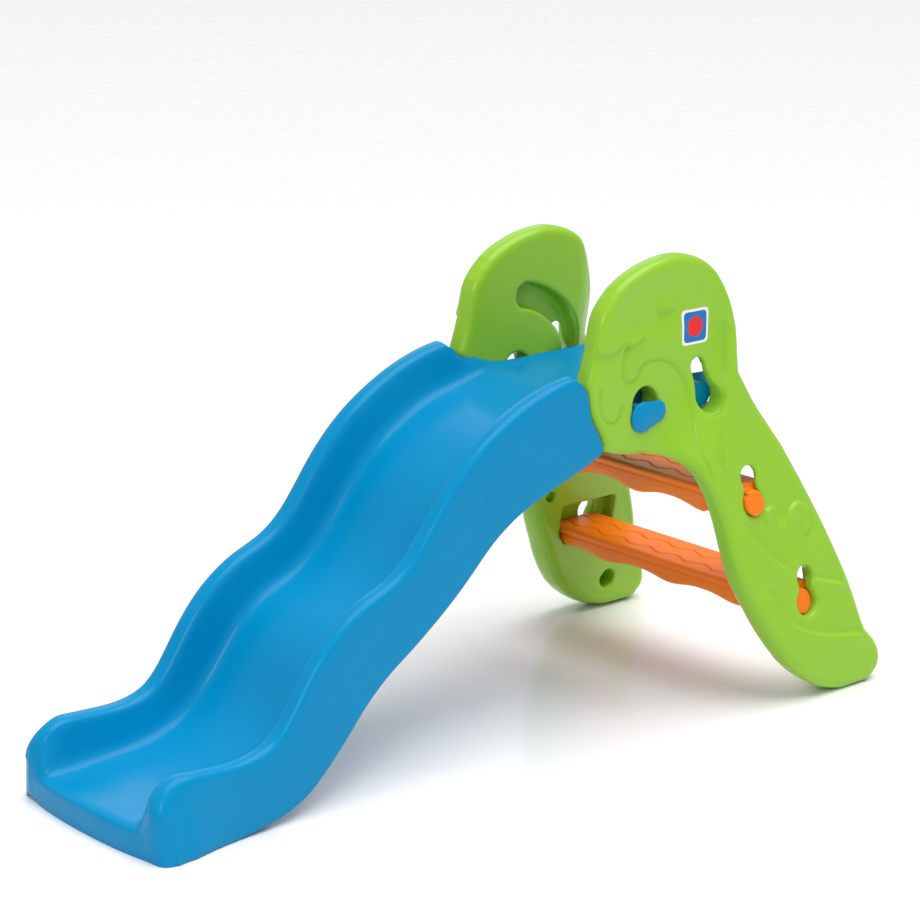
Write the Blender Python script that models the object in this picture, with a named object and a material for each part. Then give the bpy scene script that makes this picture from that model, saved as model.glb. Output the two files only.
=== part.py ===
"""Toddler's folding slide, blow moulded in five pieces.

Two leaning side panels hold two steps and make the ladder.  The chute is a
wave-shaped trough with a small platform at its top.  It hangs between the
panels on two round journals and folds down towards the steps.  A guide pin
on each side of the platform runs in an arc groove inside the panel.

Metres, +Z up.  The chute's exit points to -X, the ladder to +X, and the
plane y = 0 is the plane of symmetry.  The origin is on the floor, in the
middle of the slide's length.
"""

import math

import bmesh
import bpy
import numpy as np
from mathutils import Vector

# Clearances
GAP = 0.0004            # between pieces that seat on each other
SEAM = 0.004            # open seam between a rail's end and its panel

# Chute
HALF_WIDTH = 0.168      # outer face of the rails
CHUTE_FRONT = -0.676    # lip of the exit, on the plane of symmetry
FRONT_ROUND = 0.055     # quarter round at the rails' front end
FRONT_BOW = 0.0090      # how far the exit's front edge bows forward
FRONT_CORNER = 0.022    # plan radius at the exit's two corners
LIP_TOP = 0.040         # height of the bed behind the lip
LIP_DROP = 0.008        # the lip's rounded edge falls by this much
EXIT_OPEN = 0.030       # the trough opens by this much on each side at the lip
EXIT_OPEN_LONG = 0.036  # along this length
SKIRT_OUT = 0.015       # the skirt's bottom edge spreads by this much at the exit
SKIRT_OUT_FROM = -0.505
SKIRT_OUT_LONG = 0.135
RAIL_INNER = 0.137      # inner edge of a rail's flat top
BED_HALF = 0.098        # half width of the flat bed
BED_SKIN = 0.022        # material below the bed, over the hollow underside
RAIL_OUTER_R = 0.014
RAIL_INNER_R = 0.011
SKIRT_R = 0.006
BED_FILLET = 0.021

# Stations along the chute: top of the rail (x, z), bottom edge of the skirt
# (x, z), and the depth of the bed below the rail, along the line that joins
# them.
STATIONS = (
    (-0.612, 0.118, -0.612, 0.000, 0.072),
    (-0.560, 0.116, -0.552, 0.000, 0.067),
    (-0.511, 0.115, -0.488, 0.004, 0.063),
    (-0.463, 0.126, -0.405, 0.028, 0.062),
    (-0.430, 0.158, -0.337, 0.091, 0.068),
    (-0.395, 0.210, -0.300, 0.133, 0.073),
    (-0.352, 0.259, -0.270, 0.163, 0.072),
    (-0.297, 0.297, -0.236, 0.189, 0.070),
    (-0.237, 0.321, -0.186, 0.222, 0.068),
    (-0.192, 0.358, -0.112, 0.279, 0.067),
    (-0.147, 0.418, -0.056, 0.333, 0.068),
    (-0.110, 0.459, -0.020, 0.360, 0.068),
    (-0.068, 0.495, 0.014, 0.379, 0.068),
    (-0.010, 0.530, 0.054, 0.395, 0.068),
    (0.050, 0.555, 0.090, 0.408, 0.068),
    (0.115, 0.569, 0.140, 0.425, 0.068),
    (0.165, 0.556, 0.175, 0.440, 0.043),
    (0.210, 0.534, 0.208, 0.449, 0.019),
    (0.260, 0.529, 0.260, 0.451, 0.014),
    (0.423, 0.529, 0.423, 0.451, 0.014),
)
STEPS_PER_SPAN = 2
NOSE_R = 0.020          # rounding of the platform's rear edge
PLATFORM_HALF = 0.1274  # the platform runs between the panels

# Hollow underside: bays between cross ribs, given as station numbers
BAYS = ((0.2, 1.9), (2.1, 3.9), (4.1, 6.4), (6.6, 8.9), (9.1, 11.4), (11.6, 14.4))
BAY_HALF = 0.128        # half width of a bay at the skirts' bottom edge
BAY_TOP_HALF = 0.108    # half width of a bay under the bed

# Fold joint
PIVOT = (0.253, 0.485)  # x, z of the journals' axis
JOURNAL_R = 0.0205
CAP_R = 0.0235          # kidney shaped cap: large lobe, small lobe
CAP_LOBE_R = 0.0145
CAP_LOBE_AT = 0.0345
CAP_TILT = 8.0          # degrees the small lobe points above +X
CAP_WAIST_R = 0.012
CAP_OUT = 0.0058        # how far the cap stands out of the panel
PIN = (0.392, 0.495)    # x, z of the guide pin with the slide open
PIN_R = 0.0205
PIN_END = 0.156         # |y| of the guide pin's round end
GROOVE_FLOOR = 0.1590
FOLD_DEGREES = 75.0     # swing of the fold joint

# The end of each rail follows the panel's front lobe: angle about the pivot
# in degrees, counted from +X through +Z, and radius from the pivot.
RAIL_END = (
    (149.6, 0.160), (151.5, 0.136), (157.8, 0.122), (166.2, 0.113),
    (179.4, 0.0995), (193.7, 0.0890), (204.0, 0.0885),
)

# Side panels
PANEL_IN = 0.128        # inner face of the upright part
PANEL_T = 0.040
PANEL_EDGE_R = 0.014
LEAN = 0.25             # the legs lean out by this much per metre of height
LEAN_START = 0.64       # height where the lean begins to grow
LEAN_FULL = 0.55        # height below which the lean is a straight line
LEAN_BAND = (0.308, 0.50)   # x, z on the slanted line where the lean sets in
LEAN_BAND_SLOPE = 0.6
LEAN_BAND_WIDTH = 0.11
FOOT_TOP = 0.10         # below this height the lean eases off to an upright foot
TURN_OUT = 0.018        # the rear edge above the ladder turns out by this much
TURN_FROM = 0.395       # x where that turn begins
TURN_OVER = 0.055       # and the length it takes
TURN_LOW = 0.44         # height where the turn begins, and is complete
TURN_HIGH = 0.58
THICKER = 0.015         # the legs grow inwards by this much towards the foot
THICKER_TOP = 0.34      # height where that begins
THICKER_LONG = 0.24

# Outline of a panel from the top of the front lobe, over the top, down the
# rear edge to the foot, and up the front edge to the lobe's bottom (x, z).
PANEL_REAR = (
    (0.148, 0.568), (0.157, 0.596), (0.164, 0.632), (0.174, 0.660),
    (0.205, 0.692), (0.241, 0.711), (0.281, 0.723), (0.325, 0.728),
    (0.362, 0.722), (0.392, 0.709), (0.414, 0.689), (0.433, 0.648),
    (0.443, 0.605), (0.4415, 0.560),
)
PANEL_LEG = (
    (0.441, 0.532), (0.472, 0.480), (0.5235, 0.402), (0.578, 0.291),
    (0.606, 0.226), (0.628, 0.165), (0.639, 0.120), (0.648, 0.088),
    (0.666, 0.067), (0.676, 0.043), (0.671, 0.019), (0.648, 0.000),
)
PANEL_FRONT = (
    (0.583, 0.000), (0.545, 0.010), (0.508, 0.030), (0.470, 0.062),
    (0.436, 0.110), (0.415, 0.150), (0.390, 0.200), (0.377, 0.251),
    (0.369, 0.300), (0.359, 0.342), (0.340, 0.382), (0.318, 0.405),
    (0.293, 0.416), (0.262, 0.423), (0.222, 0.428), (0.180, 0.441),
)

# Steps: x of the front edge, z of the top, size from front to back and from
# top to bottom, knob (x, z), how far the knob stands out of the panel, depth
# of the sockets, the keyhole's tilt in degrees and rounded edge, and the wave
# of the front flange's lower edge: its height and the y of its lowest place.
STEP_SHAPES = {
    "lower_step": {
        "front": 0.443, "top": 0.183, "depth": 0.105, "height": 0.036, "knob": (0.522, 0.154),
        "stand": -0.012, "socket": 0.018, "tilt": -6.0, "hole_edge": 0.007,
        "wave": 0.008, "wave_at": -0.025,
    },
    "upper_step": {
        "front": 0.373, "top": 0.356, "depth": 0.100, "height": 0.039, "knob": (0.435, 0.328),
        "stand": 0.005, "socket": 0.030, "tilt": 1.0, "hole_edge": 0.003,
        "wave": 0.010, "wave_at": -0.015,
    },
}
STEP_RAKE = 0.014       # the front face slopes back by this much
STEP_EDGE_R = 0.007
STEP_RINGS = 30         # spans from end to end
FLANGE = 0.012          # thickness of the wavy flange
WAVE_PITCH = 0.146
WAVE_FADE = 0.02        # the wave dies out over this length before the panels
KNOB_R = 0.0205
KNOB_EDGE = 0.003
SOCKET_OVER = 0.034     # open height above a seated step
SOCKET_BEHIND = 0.017   # open depth behind a seated step

# Holes through the panels, each two circles and a waist between them: radius
# of the main and the second circle, distance between them, radius of the
# waist.
STEP_HOLE = (KNOB_R + 2 * GAP, 0.0172, 0.040, 0.020)
PIVOT_HOLE = (JOURNAL_R + GAP, 0.0265, 0.0215, 0.020)
PIVOT_HOLE_TILT = -20.0
PIVOT_HOLE_EDGE = 0.003
WINDOW_HOLE = (0.0225, 0.0130, 0.052, 0.080)
WINDOW_TILT = 13.0
WINDOW_AT = (0.384, 0.496)
WINDOW_EDGE = 0.007
PROUD = 0.02            # how far a cutter stands out of the panel

# Round dimples in the panels' inner faces: x, z, radius, depth
DIMPLES = {
    "foot_dimple": (0.578, 0.055, 0.017, 0.025),
    "leg_dimple": (0.412, 0.242, 0.010, 0.012),
}

BLUE = (0.005, 0.270, 0.578, 1.0)
GREEN = (0.296, 0.578, 0.047, 1.0)
ORANGE = (0.913, 0.223, 0.014, 1.0)


def smoothstep(t):
    t = min(max(t, 0.0), 1.0)
    return t * t * (3.0 - 2.0 * t)


def flare(x, z):
    """How far the panel leans out at this place: none round the pivot."""
    turn = smoothstep((x - TURN_FROM) / TURN_OVER) * smoothstep((z - TURN_LOW) / (TURN_HIGH - TURN_LOW))
    if z >= LEAN_START:
        lean = 0.0
    elif z > LEAN_FULL:
        lean = (LEAN_START - z) ** 2 / (2.0 * (LEAN_START - LEAN_FULL))
    else:
        lean = (LEAN_START + LEAN_FULL) / 2.0 - z
    if z < FOOT_TOP:
        lean -= (FOOT_TOP - z) ** 2 / (2.0 * FOOT_TOP)
    return TURN_OUT * turn + LEAN * lean * smoothstep(lean_ramp(x, z))


def thicker(z):
    """How far the leg's inner face stands further in at this height."""
    return THICKER * smoothstep((THICKER_TOP - z) / THICKER_LONG)


def lean_ramp(x, z):
    """0 to 1 across the slanted band where the lean sets in."""
    return ((x - LEAN_BAND[0]) + LEAN_BAND_SLOPE * (LEAN_BAND[1] - z)) / LEAN_BAND_WIDTH


def catmull(points, per_span):
    """Points of a smooth curve through the given points."""
    pts = [np.array(p, float) for p in points]
    pts = [2 * pts[0] - pts[1]] + pts + [2 * pts[-1] - pts[-2]]
    curve = []
    for p0, p1, p2, p3 in zip(pts, pts[1:], pts[2:], pts[3:]):
        for k in range(per_span):
            t = k / per_span
            curve.append(
                0.5 * (2 * p1 + (p2 - p0) * t + (2 * p0 - 5 * p1 + 4 * p2 - p3) * t ** 2
                       + (3 * p1 - p0 - 3 * p2 + p3) * t ** 3))
    curve.append(pts[-2])
    return curve


def arc(cx, cy, radius, start, end, count):
    """Points on an arc, angles in degrees, both ends included."""
    points = []
    for k in range(count + 1):
        a = math.radians(start + (end - start) * k / count)
        points.append((cx + radius * math.cos(a), cy + radius * math.sin(a)))
    return points


def waisted_outline(r1, r2, distance, waist_r, count=8):
    """Two circles on a line joined by hollow arcs, first circle at (0, 0)
    and the second at (0, distance), counter-clockwise."""
    yf = ((r1 + waist_r) ** 2 - (r2 + waist_r) ** 2 + distance ** 2) / (2 * distance)
    xf = math.sqrt((r1 + waist_r) ** 2 - yf ** 2)
    low = math.degrees(math.atan2(yf, xf))
    high = math.degrees(math.atan2(distance - yf, xf))
    points = arc(0, 0, r1, -180 - low, low, 2 * count)
    points += arc(xf, yf, waist_r, 180 + low, 180 - high, count)[1:-1]
    points += arc(0, distance, r2, -high, 180 + high, 2 * count)
    points += arc(-xf, yf, waist_r, high, -low, count)[1:-1]
    return points


def new_object(name, mesh, color=None):
    obj = bpy.data.objects.new(name, mesh)
    bpy.context.scene.collection.objects.link(obj)
    if color is None:
        obj.hide_render = True
        obj.display_type = 'WIRE'
    else:
        material = bpy.data.materials.new(name)
        material.use_nodes = True
        shader = material.node_tree.nodes["Principled BSDF"]
        shader.inputs["Base Color"].default_value = color
        shader.inputs["Roughness"].default_value = 0.35
        shader.inputs["Metallic"].default_value = 0.0
        material.diffuse_color = color
        mesh.materials.append(material)
    return obj


def mesh_from(bm, name):
    bmesh.ops.recalc_face_normals(bm, faces=bm.faces)
    mesh = bpy.data.meshes.new(name)
    bm.to_mesh(mesh)
    bm.free()
    return mesh


def loft(rings, name, cap_loops=None):
    """Closed body through rings of equal length.  An end cap is one face,
    or one face for each list of ring numbers in cap_loops."""
    bm = bmesh.new()
    loops = [[bm.verts.new(Vector(p)) for p in ring] for ring in rings]
    count = len(loops[0])
    for near, far in zip(loops, loops[1:]):
        for k in range(count):
            j = (k + 1) % count
            bm.faces.new((near[k], near[j], far[j], far[k]))
    caps = []
    for numbers in cap_loops or (range(count),):
        caps.append(bm.faces.new([loops[0][k] for k in numbers]))
        caps.append(bm.faces.new([loops[-1][k] for k in reversed(numbers)]))
    bm.normal_update()
    bmesh.ops.triangulate(bm, faces=caps, ngon_method='EAR_CLIP')
    return mesh_from(bm, name)


def prism_y(outline, y0, y1, name):
    """Body with this (x, z) outline between two planes of constant y."""
    return loft([[(x, y, z) for x, z in outline] for y in (y0, y1)], name)


def add_boolean(obj, other, operation):
    modifier = obj.modifiers.new(other.name, 'BOOLEAN')
    modifier.operation = operation
    modifier.solver = 'EXACT'
    modifier.object = other


def baked(obj):
    """The evaluated mesh of an object whose cutters are then removed."""
    helpers = [m.object for m in obj.modifiers if m.type == 'BOOLEAN']
    bpy.context.view_layer.update()
    graph = bpy.context.evaluated_depsgraph_get()
    mesh = bpy.data.meshes.new_from_object(obj.evaluated_get(graph))
    bpy.data.objects.remove(obj)
    for helper in helpers:
        bpy.data.objects.remove(helper)
    return mesh


def mirrored(mesh, name):
    """Copy of a mesh on the other side of the plane y = 0."""
    bm = bmesh.new()
    bm.from_mesh(mesh)
    bmesh.ops.scale(bm, vec=(1.0, -1.0, 1.0), verts=bm.verts)
    bmesh.ops.reverse_faces(bm, faces=bm.faces)
    copy = bpy.data.meshes.new(name)
    bm.to_mesh(copy)
    bm.free()
    return copy


def finish(obj):
    obj.data.shade_smooth()
    obj.data.set_sharp_from_angle(angle=math.radians(35))


# Chute

def front_stations():
    """The quarter round at the rails' front end, lip first."""
    x, z = STATIONS[0][0], STATIONS[0][1]
    reach = x - CHUTE_FRONT
    drop = FRONT_ROUND
    stations = []
    for degrees in (90, 72, 54, 36, 18):
        a = math.radians(degrees)
        rail_x = x - reach * math.sin(a)
        rail_z = z - drop * (1.0 - math.cos(a))
        bed_z = LIP_TOP + (z - STATIONS[0][4] - LIP_TOP) * math.cos(a)
        bed_z -= LIP_DROP * max(0.0, (degrees - 54) / 36) ** 2
        stations.append((rail_x, rail_z, rail_x, 0.0, rail_z - bed_z))
    return stations


def nose_stations():
    """The rounded rear edge of the platform."""
    x, z, _, low, depth = STATIONS[-1]
    stations = []
    for degrees in (30, 60, 90):
        a = math.radians(degrees)
        drop = NOSE_R * (1.0 - math.cos(a))
        out = x + NOSE_R * math.sin(a)
        stations.append((out, z - drop, out, low + drop, depth))
    return stations


def chute_stations():
    smooth = catmull(STATIONS, STEPS_PER_SPAN)
    return front_stations() + [tuple(s) for s in smooth] + nose_stations()


def quad_curve(a, b, c, count):
    """Points of a curve from a to c that is drawn towards b."""
    points = []
    for k in range(count + 1):
        t = k / count
        u = 1 - t
        points.append((u * u * a[0] + 2 * u * t * b[0] + t * t * c[0],
                       u * u * a[1] + 2 * u * t * b[1] + t * t * c[1]))
    return points


def trough_half(height, depth):
    """Half of the trough's section: (y, h) from the bed's middle, over the
    rail, down to the middle of the underside."""
    bed = height - depth
    fillet = min(BED_FILLET, 0.45 * depth)
    r_in = min(RAIL_INNER_R, 0.35 * depth)
    r_out = min(RAIL_OUTER_R, 0.30 * height)
    wall_low = (BED_HALF + 0.0235, bed + fillet)
    points = [(0.0, bed), (0.05, bed)]
    points += quad_curve((BED_HALF, bed), (BED_HALF + 0.016, bed), wall_low, 3)
    points += quad_curve((RAIL_INNER - 0.006, height - r_in), (RAIL_INNER - 0.002, height),
                         (RAIL_INNER + r_in, height), 3)
    points += arc(HALF_WIDTH - r_out, height - r_out, r_out, 90, 0, 3)
    points += arc(HALF_WIDTH - SKIRT_R, SKIRT_R, SKIRT_R, 0, -90, 2)
    points += [(0.14, 0.0), (0.10, 0.0), (0.05, 0.0), (0.0, 0.0)]
    return points


def bay_half(height, depth):
    """Half of a bay's section: the ceiling follows the bed."""
    top = height - depth - BED_SKIN
    return [(0.0, top), (BAY_TOP_HALF - 0.012, top), (BAY_TOP_HALF, top - 0.010),
            (BAY_HALF, 0.0), (BAY_HALF + 0.004, -0.03), (0.0, -0.03)]


def section_ring(station, half):
    """Ring of world points for a half section at a station."""
    rail_x, rail_z, low_x, low_z, depth = station
    across = Vector((rail_x - low_x, 0.0, rail_z - low_z))
    height = across.length
    across.normalize()
    points = half(height, depth)
    both = points + [(-y, h) for y, h in reversed(points) if y > 1e-6]
    return [Vector((low_x, y, low_z)) + across * h for y, h in both]


def trough_caps():
    """Faces that fill a trough section: two in the middle and one in the
    rail on each side, so that the lip can bow."""
    half = len(trough_half(0.1, 0.05))
    right = [(0, 1, half - 2, half - 1), (1, 2, half - 3, half - 2), tuple(range(2, half - 2))]
    total = 2 * half - 2
    left = [tuple((total - k) % total for k in reversed(loop)) for loop in right]
    return right + left


def shape_exit(mesh):
    """Opens the trough towards the lip, spreads the skirts, and bows the
    exit's front edge and rounds its corners in plan."""
    for vert in mesh.vertices:
        share = (CHUTE_FRONT + EXIT_OPEN_LONG - vert.co.x) / EXIT_OPEN_LONG
        if share > 0 and abs(vert.co.y) > BED_HALF and vert.co.z > SKIRT_R:
            opened = EXIT_OPEN * (1.0 - math.sqrt(max(1.0 - share ** 2, 0.0)))
            to_side = (HALF_WIDTH - abs(vert.co.y)) / (HALF_WIDTH - BED_HALF)
            vert.co.y += math.copysign(opened * to_side, vert.co.y)
        if abs(vert.co.y) > RAIL_INNER and vert.co.z < 2 * SKIRT_R:
            spread = SKIRT_OUT * smoothstep((SKIRT_OUT_FROM - vert.co.x) / SKIRT_OUT_LONG)
            vert.co.y += math.copysign(spread, vert.co.y)
        weight = smoothstep((STATIONS[1][0] - vert.co.x) / (STATIONS[1][0] - CHUTE_FRONT))
        y = abs(vert.co.y)
        shift = FRONT_BOW * (y / 0.14) ** 2
        into = min(y - (HALF_WIDTH - FRONT_CORNER), FRONT_CORNER)
        if into > 0:
            shift += FRONT_CORNER - math.sqrt(FRONT_CORNER ** 2 - into ** 2)
        vert.co.x += weight * shift


def station_at(stations, place):
    """Station at a whole or part number of the named stations."""
    index = place * STEPS_PER_SPAN
    low = int(math.floor(index))
    part = index - low
    a = np.array(stations[low])
    b = np.array(stations[min(low + 1, len(stations) - 1)])
    return tuple(a + (b - a) * part)


def bay_cutter(stations, start, end, name):
    places = [start]
    step = 1.0 / STEPS_PER_SPAN
    k = math.floor(start / step) + 1
    while k * step < end - 0.05:
        if k * step > start + 0.05:
            places.append(k * step)
        k += 1
    places.append(end)
    rings = [section_ring(station_at(stations, p), bay_half) for p in places]
    return new_object(name, loft(rings, name))


def polar(degrees, radius, centre=PIVOT):
    a = math.radians(degrees)
    return (centre[0] + radius * math.cos(a), centre[1] + radius * math.sin(a))


def rail_end_outline():
    """Everything behind the curved end of a rail (x, z)."""
    curve = catmull([polar(a, r) for a, r in RAIL_END], 2)
    top = curve[0]
    low = curve[-1]
    points = [(top[0] - 0.012, top[1] + 0.012), (top[0] - 0.004, top[1] + 0.006)]
    points += [tuple(p) for p in curve]
    points += [(low[0] - 0.002, low[1] - 0.010), (low[0] - 0.010, low[1] - 0.018)]
    points += [(low[0] - 0.012, 0.36), (0.50, 0.36), (0.50, 0.62), (top[0] - 0.012, 0.62)]
    return points


def turned(outline, degrees, centre):
    a = math.radians(degrees)
    return [(centre[0] + x * math.cos(a) - z * math.sin(a),
             centre[1] + x * math.sin(a) + z * math.cos(a)) for x, z in outline]


def rounded_stub(outline_at, y0, y1, edge, side, name):
    """Short pin along Y whose outer end has a rounded edge.  outline_at
    gives the outline for an inset."""
    rings = [[(x, side * y0, z) for x, z in outline_at(0.0)]]
    for degrees in (0, 45, 90):
        a = math.radians(degrees)
        inset = edge * (1.0 - math.cos(a))
        y = y1 - edge + edge * math.sin(a)
        rings.append([(x, side * y, z) for x, z in outline_at(inset)])
    return loft(rings, name)


def cap_outline(inset):
    outline = waisted_outline(CAP_R - inset, CAP_LOBE_R - inset, CAP_LOBE_AT, CAP_WAIST_R + inset, 6)
    return turned(outline, CAP_TILT - 90.0, PIVOT)


def journal_outline(inset):
    return arc(PIVOT[0], PIVOT[1], JOURNAL_R - inset, 0, 345, 23)


def pin_outline(inset):
    return arc(PIN[0], PIN[1], PIN_R - inset, 0, 345, 23)


def make_chute():
    stations = chute_stations()
    mesh = loft([section_ring(s, trough_half) for s in stations], "chute", trough_caps())
    shape_exit(mesh)
    chute = new_object("chute", mesh, BLUE)
    smooth = [tuple(s) for s in catmull(STATIONS, STEPS_PER_SPAN)]
    for number, (start, end) in enumerate(BAYS):
        add_boolean(chute, bay_cutter(smooth, start, end, "bay_%d" % number), 'DIFFERENCE')
    behind = rail_end_outline()
    for side, word in ((-1, "left"), (1, "right")):
        cutter = prism_y(behind, side * PLATFORM_HALF, side * 0.2, "rail_end_" + word)
        add_boolean(chute, new_object("rail_end_" + word, cutter), 'DIFFERENCE')
    face = PANEL_IN + PANEL_T
    for side, word in ((-1, "left"), (1, "right")):
        stubs = (
            ("journal", rounded_stub(journal_outline, 0.10, face + 0.003, 0.0005, side, "journal")),
            ("cap", rounded_stub(cap_outline, face + 2 * GAP, face + CAP_OUT, 0.0025, side, "cap")),
            ("guide_pin", rounded_stub(pin_outline, 0.10, PIN_END, 0.003, side, "guide_pin")),
        )
        for kind, stub in stubs:
            add_boolean(chute, new_object(kind + "_" + word, stub), 'UNION')
    finish(chute)
    return chute


# Side panels

def panel_outline():
    lobe = [polar(a, r - SEAM) for a, r in RAIL_END[1:]]
    lobe[0] = polar(151.0, 0.1285)
    lobe.reverse()
    points = catmull(PANEL_REAR, 2)
    points += catmull(PANEL_LEG, 2)
    points += catmull(PANEL_FRONT, 2)
    points += catmull(lobe, 2)
    return [tuple(p) for p in points]


def keyhole_cutter(hole, tilt, centre, edge, name):
    """Cuts through the left panel and rounds the hole's outer edge."""
    main_r, second_r, distance, waist_r = hole
    outer = PANEL_IN + PANEL_T
    places = [(PANEL_IN - PROUD, 0.0)]
    for degrees in (0, 45, 90):
        a = math.radians(degrees)
        places.append((outer - edge * (1.0 - math.sin(a)), edge * (1.0 - math.cos(a))))
    places.append((outer + PROUD, edge))
    rings = []
    for y, offset in places:
        outline = waisted_outline(main_r + offset, second_r + offset, distance, waist_r - offset, 6)
        rings.append([(x, -y, z) for x, z in turned(outline, tilt, centre)])
    return new_object(name, loft(rings, name))


def socket_cutter(shape, name):
    """Pocket in the panel's inner face for the end of a step."""
    front, top = shape["front"], shape["top"]
    low = top - shape["height"] - GAP
    high = top + SOCKET_OVER
    rear = front + shape["depth"] + SOCKET_BEHIND
    outline = [(front + STEP_RAKE - GAP, low), (rear, low), (rear, high), (front - GAP, high),
               (front - GAP, top - 0.015)]
    mesh = prism_y(outline, -(PANEL_IN - PROUD), -(PANEL_IN + shape["socket"]), name)
    return new_object(name, mesh)


def dimple_cutter(x, z, radius, deep, name):
    outline = arc(x, z, radius, 0, 340, 17)
    return new_object(name, prism_y(outline, -(PANEL_IN - PROUD), -(PANEL_IN + deep), name))


def groove_outline():
    """Round-ended arc that the guide pin sweeps (x, z)."""
    radius = math.dist(PIVOT, PIN)
    start = math.degrees(math.atan2(PIN[1] - PIVOT[1], PIN[0] - PIVOT[0]))
    end = start + FOLD_DEGREES
    half = PIN_R + 2 * GAP
    near = polar(start, radius)
    far = polar(end, radius)
    points = arc(PIVOT[0], PIVOT[1], radius + half, start, end, 16)
    points += arc(far[0], far[1], half, end, end + 180, 8)[1:]
    points += arc(PIVOT[0], PIVOT[1], radius - half, end, start, 12)[1:]
    points += arc(near[0], near[1], half, start + 180, start + 360, 8)[1:-1]
    return points


def flared(mesh):
    """Splits the panel where it curves and leans it outwards."""
    bm = bmesh.new()
    bm.from_mesh(mesh)
    heights = (FOOT_TOP / 3, 2 * FOOT_TOP / 3, FOOT_TOP, 0.41, 0.46, LEAN_FULL, 0.575, LEAN_START)
    planes = [((0, 0, z), (0, 0, 1)) for z in heights]
    for t in (0.0, 0.25, 0.5, 0.75, 1.0):
        start = (LEAN_BAND[0] + LEAN_BAND_WIDTH * t, 0, LEAN_BAND[1])
        planes.append((start, (1, 0, -LEAN_BAND_SLOPE)))
    for t in (0.0, 0.33, 0.67, 1.0):
        planes.append(((TURN_FROM + TURN_OVER * t, 0, 0), (1, 0, 0)))
    for point, normal in planes:
        everything = bm.verts[:] + bm.edges[:] + bm.faces[:]
        bmesh.ops.bisect_plane(bm, geom=everything, dist=1e-5, plane_co=point, plane_no=normal)
    bmesh.ops.triangulate(bm, faces=[f for f in bm.faces if len(f.verts) > 3])
    for vert in bm.verts:
        inner = 1.0 - (-vert.co.y - PANEL_IN) / PANEL_EDGE_R
        further = thicker(vert.co.z) * min(max(inner, 0.0), 1.0)
        vert.co.y += further - flare(vert.co.x, vert.co.z)
    bmesh.ops.dissolve_degenerate(bm, dist=2e-5, edges=bm.edges)
    result = bpy.data.meshes.new("panel")
    bm.to_mesh(result)
    bm.free()
    return result


def inset(outline, distance):
    """A clockwise outline moved inwards."""
    corners = [Vector(point) for point in outline]
    moved = []
    for before, here, after in zip(corners[-1:] + corners[:-1], corners, corners[1:] + corners[:1]):
        leaving = (after - here).normalized()
        along = ((here - before).normalized() + leaving).normalized()
        reach = distance / along.dot(leaving)
        moved.append((here.x + along.y * reach, here.y - along.x * reach))
    return moved


def panel_blank():
    """A flat left panel with a rounded edge all round."""
    outline = panel_outline()
    half = []
    for degrees in (0, 30, 60, 90):
        a = math.radians(degrees)
        half.append((PANEL_EDGE_R * (1.0 - math.cos(a)), inset(outline, PANEL_EDGE_R * (1.0 - math.sin(a)))))
    rings = [[(x, -(PANEL_IN + y), z) for x, z in ring] for y, ring in half]
    rings += [[(x, -(PANEL_IN + PANEL_T - y), z) for x, z in ring] for y, ring in reversed(half)]
    return new_object("panel_blank", loft(rings, "panel_blank"), GREEN)


def make_panels():
    blank = panel_blank()
    cutters = [
        keyhole_cutter(PIVOT_HOLE, PIVOT_HOLE_TILT, PIVOT, PIVOT_HOLE_EDGE, "pivot_keyhole"),
        keyhole_cutter(WINDOW_HOLE, WINDOW_TILT, WINDOW_AT, WINDOW_EDGE, "pin_window"),
    ]
    for name, shape in STEP_SHAPES.items():
        keyhole = (STEP_HOLE, shape["tilt"], shape["knob"], shape["hole_edge"])
        cutters.append(keyhole_cutter(*keyhole, name + "_keyhole"))
        cutters.append(socket_cutter(shape, name + "_socket"))
    for name, (x, z, radius, deep) in DIMPLES.items():
        cutters.append(dimple_cutter(x, z, radius, deep, name))
    for cutter in cutters:
        add_boolean(blank, cutter, 'DIFFERENCE')
    left_mesh = flared(baked(blank))
    right_mesh = mirrored(left_mesh, "right_panel")
    for side, name, part in ((-1, "left_panel", left_mesh), (1, "right_panel", right_mesh)):
        part.materials.clear()
        panel = new_object(name, part, GREEN)
        groove = prism_y(groove_outline(), side * 0.10, side * GROOVE_FLOOR, name + "_groove")
        add_boolean(panel, new_object(name + "_groove", groove), 'DIFFERENCE')
        finish(panel)


# Steps

def step_section(shape, wave):
    """Section of a step (x, z) with the front flange's edge lowered."""
    front, top = shape["front"], shape["top"]
    rear = front + shape["depth"]
    low = top - shape["height"]
    r = STEP_EDGE_R
    points = arc(front + r, top - r, r, 90, 180, 3)
    points += [(front + 0.003, top - 0.013), (front + 0.0075, top - 0.017), (front + 0.0085, top - 0.021),
               (front + 0.0085, top - 0.026)]
    flange = front + STEP_RAKE
    points += [(flange - 0.003, low + 0.007 - wave), (flange, low + 0.002 - wave),
               (flange + 0.003, low - wave), (flange + FLANGE, low - wave)]
    points += [(flange + FLANGE + 0.004, low), (rear - r, low)]
    points += arc(rear - r, low + r, r, -90, 0, 3)[1:]
    points += arc(rear - r, top - r, r, 0, 90, 3)
    return points


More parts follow.
